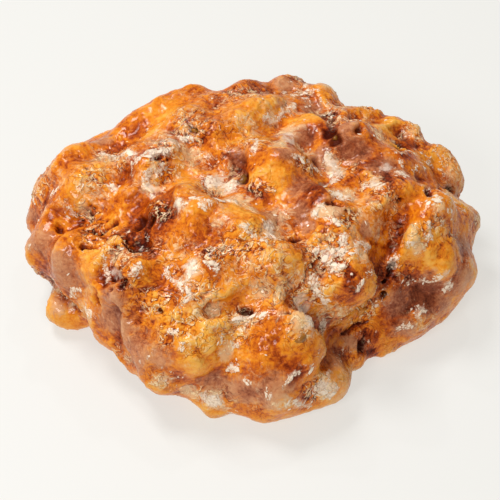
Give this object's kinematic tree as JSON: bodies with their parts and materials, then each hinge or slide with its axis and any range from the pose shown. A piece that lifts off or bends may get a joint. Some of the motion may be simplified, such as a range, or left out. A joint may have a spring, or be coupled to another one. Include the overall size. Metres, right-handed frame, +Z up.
{
  "type": "fruit fritter",
  "caption": "Craggy oval fritter: a flattened lump of fried dough with a bulging rim, a pitted crown and a thin cracked sugar glaze, resting on a flat underside.",
  "frame": {"origin": "middle of the flat underside, below the middle of the fritter's outline", "axes": "+X along the fritter's length, +Y across it towards its back, +Z up"},
  "size_m": [0.14, 0.1186, 0.051],
  "materials": {
    "crust": "golden to dark brown fried crust under a thin clear glaze",
    "sugar_glaze": "set white sugar glaze, cracked and flaky"
  },
  "bodies": {
    "root": {"fritter": "crust"}
  },
  "joints": []
}
